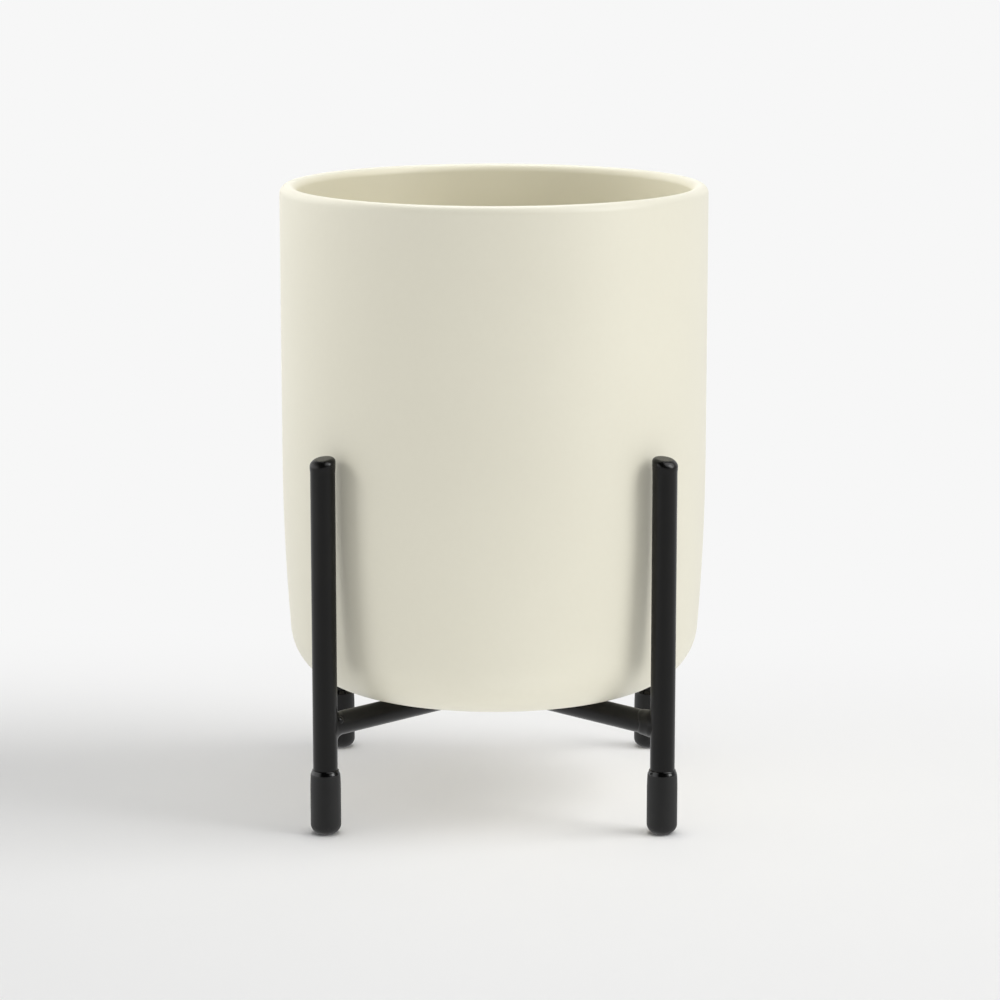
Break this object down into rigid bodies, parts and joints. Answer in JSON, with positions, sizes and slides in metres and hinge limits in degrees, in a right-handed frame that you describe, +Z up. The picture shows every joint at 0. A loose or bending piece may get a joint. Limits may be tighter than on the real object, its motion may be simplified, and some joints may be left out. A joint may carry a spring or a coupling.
{
  "type": "flatware holder",
  "caption": "Round satin-glazed ceramic cup that lifts out of a black welded rod stand with upright legs, crossed bars and soft foot caps; holds cutlery upright.",
  "frame": {"origin": "on the table, under the middle of the cup", "axes": "+Z up along the cup's axis, the front faces -Y, the legs stand on the diagonals"},
  "size_m": [0.1142, 0.1142, 0.1666],
  "materials": {
    "cream_glaze": "satin cream glaze, bare clay on the foot ring",
    "powder_coat": "satin black powder coat over steel",
    "cap_vinyl": "black soft vinyl, semi-gloss"
  },
  "bodies": {
    "stand": {"leg_front_left": "powder_coat", "leg_front_right": "powder_coat", "leg_rear_left": "powder_coat", "leg_rear_right": "powder_coat", "cross_bar_long": "powder_coat", "cross_bar_front_right": "powder_coat", "cross_bar_rear_left": "powder_coat", "leg_weld_front_left": "powder_coat", "leg_weld_front_right": "powder_coat", "leg_weld_rear_left": "powder_coat", "leg_weld_rear_right": "powder_coat", "crossing_weld": "powder_coat", "foot_cap_front_left": "cap_vinyl", "foot_cap_front_right": "cap_vinyl", "foot_cap_rear_left": "cap_vinyl", "foot_cap_rear_right": "cap_vinyl"},
    "cup": {"cup": "cream_glaze"}
  },
  "joints": [
    {"name": "cup_lift", "type": "slide", "parent": "stand", "child": "cup", "axis": [0, 0, 1], "range_m": [0, 0.08]}
  ]
}
